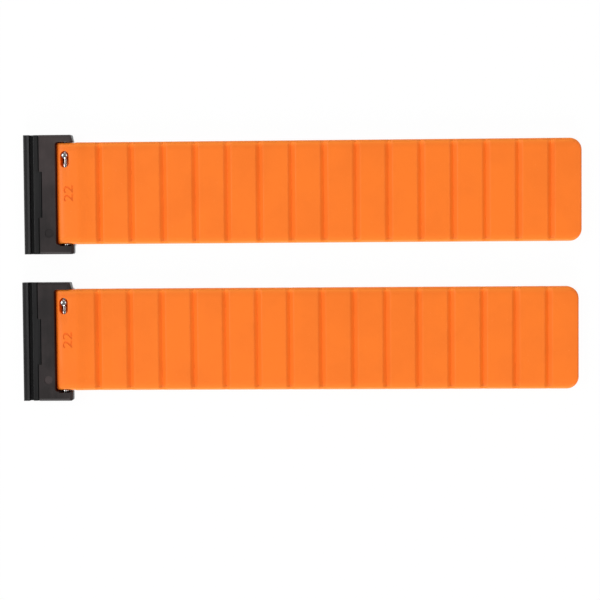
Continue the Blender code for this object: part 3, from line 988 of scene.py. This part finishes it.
def makeConnector():
    side, plateStart, ledgeTop = connectorSide()
    past = connector["past"]
    piece = drawOut("connector_shell_a", side, connectorLow.y - past, connectorHigh.y + past)
    cutLedge(piece, plateStart, ledgeTop)
    cutWith(piece, connectorEnds(), "INTERSECT")
    cutWith(piece, connectorPlan(), "INTERSECT")
    roomLow, roomHigh = (barAxis.y + inside for inside in connector["earInside"])
    reach = lug["back"] + connector["lugGap"]
    plateEnd = barAxis.x - reach
    cutWith(piece, pocketCutter(plateEnd, reach, roomLow, roomHigh))
    cutWith(piece, recessCutter(roomLow))
    ends = Vector((0, connector["holeEnd"], 0))
    cutWith(piece, addRod("holes", connector["hole"], barAxis - ends, barAxis + ends, connector["sides"]))
    markX = (plateStart + connector["notchDepth"] + plateEnd) / 2
    markY = connectorLow.y + connector["markFromEnd"]
    markFloor = Vector((markX, markY, connectorHigh.z - connector["markDepth"]))
    markEnd = markFloor + Vector((0, 0, past))
    cutWith(piece, addRod("mark", connector["markDiameter"] / 2, markFloor, markEnd, connector["sides"]))
    startEdit(piece)
    bpy.ops.mesh.dissolve_limited(angle_limit=math.radians(connector["flatWithin"]))
    stopEdit()
    softenPocket(piece, plateEnd, roomLow, roomHigh)
    smooth(piece, connector["smoothOver"])
    flatten(piece)
    plateFrom = plateStart - connector["edge"]
    plateLow = ledgeTop + connector["edge"]
    markFaces(piece, "matte", lambda face: face.center.x > plateFrom and face.center.z > plateLow)
    return piece


def isMarkFloor(face):
    fromFloor = face.center.z - connectorHigh.z + connector["markDepth"]
    return abs(fromFloor) < near and face.normal.z > connector["markTilt"]


connectorShell = makeConnector()
connectorTwin = copyTo(connectorShell, "connector_shell_b", toSecondBar)
for letter, piece in (("a", connectorShell), ("b", connectorTwin)):
    markFaces(piece, "mark", lambda face: connector["markTones"][letter] * isMarkFloor(face))
    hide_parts(f"connector_{letter}")
    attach(piece, f"connector_{letter}")
    dress(piece, "black_plastic")
print("connectors made")


# Spring bar: slotted tube, plain tip, sprung tip with its thumb knob, and the spring

bar = {
    "tubeRadius": 0.75 * mm,
    "tubeWall": 0.2 * mm,
    "pinRadius": 0.45 * mm,
    "tipRadius": 0.40 * mm,
    "tipPoint": 0.15 * mm,
    "tipEnd": 12.4 * mm,
    "collarRadius": 0.65 * mm,
    "collarStart": 10.64 * mm,
    "collarEnd": 11.14 * mm,
    "plugInner": 5.6 * mm,
    "pinGuide": 5.5 * mm,
    "slotRadius": 0.48 * mm,
    "slotSides": 24,
    "slotEdge": 0.08 * mm,
    "slotEdgeSteps": 3,
    "sides": 40,
    "tipEdge": 0.03 * mm,
    "tipEdgeSteps": 2,
    "smoothOver": 35,
}


def alongBar(piece, towards):  # lay a piece that was turned upright along the bar
    piece.data.transform(Matrix.Translation(barAxis) @ Matrix.Rotation(math.radians(-90 * towards), 4, "X"))


def makeTube():
    reach = Vector((0, tubeHalf, 0))
    piece = addRod("spring_bar_tube_a", bar["tubeRadius"], barAxis - reach, barAxis + reach, bar["sides"])
    innerRadius = bar["tubeRadius"] - bar["tubeWall"]
    cutWith(piece, addRod("inside", innerRadius, barAxis - 2 * reach, barAxis + 2 * reach, bar["sides"]))
    height = 2 * bar["tubeRadius"]
    slotAt = (barAxis.x, knobY - knob["travel"] / 2, barAxis.z + height / 2)
    slotLength = knob["travel"] + 2 * bar["slotRadius"]
    cutWith(piece, addSlot("slot", slotAt, bar["slotRadius"], slotLength, height, bar["slotSides"]))
    softenEdges(piece, bar["slotEdge"], bar["slotEdgeSteps"], overDegrees=40)
    smooth(piece, bar["smoothOver"])
    return piece


def makeFixedTip():
    profile = [
        (bar["pinRadius"], bar["plugInner"]), (bar["pinRadius"], bar["collarStart"]),
        (bar["collarRadius"], bar["collarStart"]), (bar["collarRadius"], bar["collarEnd"]),
        (bar["tipRadius"], bar["collarEnd"]), (bar["tipRadius"], bar["tipEnd"] - bar["tipPoint"]),
        (bar["tipRadius"] - bar["tipPoint"], bar["tipEnd"]),
    ]
    piece = turnUp("spring_bar_fixed_tip_a", profile, (0, 0, 0), bar["sides"])
    alongBar(piece, -1)
    softenEdges(piece, bar["tipEdge"], bar["tipEdgeSteps"], overDegrees=30)
    smooth(piece, bar["smoothOver"])
    return piece


def makeReleasePin():
    inner = knobY - barAxis.y - bar["pinGuide"]
    profile = [
        (bar["pinRadius"], inner), (bar["pinRadius"], tubeHalf),
        (bar["tipRadius"], tubeHalf + bar["tipPoint"]),
        (bar["tipRadius"], bar["tipEnd"] - bar["tipPoint"]),
        (bar["tipRadius"] - bar["tipPoint"], bar["tipEnd"]),
    ]
    piece = turnUp("release_pin_steel_a", profile, (0, 0, 0), bar["sides"])
    alongBar(piece, 1)
    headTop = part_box("release_pin_a")[1].z - barAxis.z
    headLow, headRadius, edge, dome = (knob[size] for size in ("headLow", "headRadius", "headEdge", "dome"))
    head = [
        (knob["stemRadius"], 0), (knob["stemRadius"], headLow - knob["neckHeight"]),
        (knob["neckRadius"], headLow), (headRadius - edge, headLow),
        (headRadius, headLow + edge), (headRadius, headTop - dome),
    ]
    for step in range(1, knob["domeSteps"] + 1):
        turn = math.radians(knob["domeTurn"] * step / knob["domeSteps"])
        head.append((headRadius * math.cos(turn), headTop - dome + dome * math.sin(turn)))
    button = turnUp("knob", head, (barAxis.x, knobY, barAxis.z), bar["sides"])
    cutWith(piece, button, "UNION")
    smooth(piece, bar["smoothOver"])
    return piece


spring = {
    "wire": 0.18 * mm,
    "turns": 10,
    "seat": 0.12 * mm,
    "stepsPerTurn": 20,
    "wireSides": 10,
    "smoothOver": 40,
}


def makeSpring():
    half = spring["wire"] / 2
    start = -bar["plugInner"] + spring["seat"] + half
    end = knobY - barAxis.y - bar["pinGuide"] - spring["seat"] - half
    bpy.ops.object.select_all(action="DESELECT")
    bpy.ops.mesh.primitive_circle_add(
        vertices=spring["wireSides"], radius=half,
        location=(bar["pinRadius"] - half, 0, 0), rotation=(math.radians(90), 0, 0),
    )
    piece = added("release_spring_wire_a")
    piece.data.transform(Matrix.Rotation(math.radians(90), 4, "X"))
    selectOnly(piece)
    bpy.ops.object.modifier_add(type="SCREW")
    step = piece.modifiers[-1]
    step.axis = "Z"
    step.angle = math.tau
    step.iterations = spring["turns"]
    step.screw_offset = (end - start) / spring["turns"]
    step.steps = spring["stepsPerTurn"]
    step.render_steps = spring["stepsPerTurn"]
    step.use_merge_vertices = False
    bpy.ops.object.modifier_apply(modifier=step.name)
    startEdit(piece)
    bpy.ops.mesh.remove_doubles(threshold=mergeWithin)
    bpy.ops.mesh.select_all(action="DESELECT")
    bpy.ops.mesh.select_mode(type="EDGE")
    bpy.ops.mesh.select_non_manifold()
    bpy.ops.mesh.fill_holes(sides=0)
    stopEdit()
    place = Matrix.Translation(barAxis + Vector((0, start, 0)))
    piece.data.transform(place @ Matrix.Rotation(math.radians(-90), 4, "X"))
    smooth(piece, spring["smoothOver"])
    return piece, start, end


springWire, springStart, springEnd = makeSpring()
barPieces = [
    (makeTube(), "bar_tube", "lug"),
    (makeFixedTip(), "bar_fixed_tip", "lug"),
    (makeReleasePin(), "release_pin", "pin"),
    (springWire, "release_spring", "lug"),
]
for piece, node, body in barPieces:
    twin = copyTo(piece, piece.name[:-1] + "b", toSecondBar)
    for letter, one, offset in (("a", piece, Vector()), ("b", twin, toSecondBar)):
        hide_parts(f"{node}_{letter}")
        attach(one, f"{body}_{letter}")
        dress(one, "polished_steel")
        if node == "release_spring":
            fixedEnd = barAxis + offset + Vector((0, springStart, 0))
            squeezed = 1 - knob["travel"] / (springEnd - springStart)
            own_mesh(one)
print("spring bars made")

# Magnets keep their own shape, inside the blocks near the free ends
for name, node in frame["nodes"].items():
    if name.startswith("magnet_"):
        dress(node, "nickel_plate")
print("magnets dressed")


# Floor, light and camera

studio = {
    "floorSize": 40.0,
    "floorDrop": 0.02 * mm,
    "floorColour": (0.92, 0.92, 0.92, 1),
    "floorWhite": 0.96,  # share of plain white that the floor shows the lens and what mirrors it
    "gapSamples": 24,
    "gapReach": 1.0 * mm,  # floor in gaps narrower than this stays dark
    "gapShade": (0.3, 0.5),  # open share of its view at which the floor is dark, and white
    "skyColour": (0.328, 0.328, 0.328, 1),
    "lights": (  # name, place, size, power
        ("left_light", (-1.02, 0.2, 0.95), 0.9, 10.3),
        ("right_light", (0.90, 0.2, 0.95), 0.9, 4.3),
        ("front_light", (0, -2.40, 0.86), 1.5, 64),
        ("back_light", (0, 1.40, 0.45), 0.9, 4),
    ),
}


def makeFloor():
    bpy.ops.object.select_all(action="DESELECT")
    bpy.ops.mesh.primitive_plane_add(size=studio["floorSize"], location=(0, 0, -studio["floorDrop"]))
    floor = added("floor")
    finish = bpy.data.materials.new("white_floor")
    finish.use_nodes = True
    tree = finish.node_tree
    tree.nodes.remove(tree.nodes["Principled BSDF"])
    wire = Wire(tree)
    matte = wire.add("BsdfDiffuse", {}, {"Color": studio["floorColour"]})
    white = wire.add("Emission", {}, {"Color": (1, 1, 1, 1), "Strength": 1.0})
    seen = wire.add("LightPath", output="Is Camera Ray") + wire.add("LightPath", output="Is Glossy Ray")
    seen = seen + wire.add("LightPath", output="Is Transmission Ray")
    reach = {"Distance": studio["gapReach"]}
    clear = wire.add("AmbientOcclusion", {"samples": studio["gapSamples"]}, reach, output="AO")
    clear = clear.between(*studio["gapShade"])
    shown = wire.add("MixShader", {}, {0: studio["floorWhite"] * seen * clear, 1: matte, 2: white})
    tree.links.new(shown.socket, tree.nodes["Material Output"].inputs["Surface"])
    floor.data.materials.append(finish)


def makeLight():
    world = bpy.data.worlds.new("studio")
    bpy.context.scene.world = world
    world.use_nodes = True
    world.node_tree.nodes["Background"].inputs["Color"].default_value = studio["skyColour"]
    for name, place, size, power in studio["lights"]:
        bpy.ops.object.select_all(action="DESELECT")
        bpy.ops.object.light_add(type="AREA", location=place)
        light = bpy.context.object
        light.name = name
        light.data.shape = "DISK"
        light.data.size = size
        light.data.energy = power
        light.rotation_euler = (-Vector(place)).to_track_quat("-Z", "Y").to_euler()


camera = {
    "place": (19.15 * mm, 12.25 * mm, 400 * mm),
    "aim": (-0.17 * mm, -7.36 * mm, 0),
    "roll": -0.45,  # degrees
    "lens": 109.9,
    "sensor": 36,
    "clipStart": 0.01,
}


def makeCamera():
    look = bpy.data.cameras.new("camera")
    look.lens = camera["lens"]
    look.sensor_width = camera["sensor"]
    look.clip_start = camera["clipStart"]
    eye = bpy.data.objects.new("camera", look)
    bpy.context.scene.collection.objects.link(eye)
    back = (Vector(camera["place"]) - Vector(camera["aim"])).normalized()
    right = Vector((0, 1, 0)).cross(back).normalized()
    turn = Matrix((right, back.cross(right), back)).transposed().to_4x4()
    roll = Matrix.Rotation(math.radians(camera["roll"]), 4, "Z")
    eye.matrix_world = Matrix.Translation(camera["place"]) @ turn @ roll
    bpy.context.scene.camera = eye


makeFloor()
makeLight()
makeCamera()
bpy.context.scene.view_settings.view_transform = "Standard"
print("studio made")
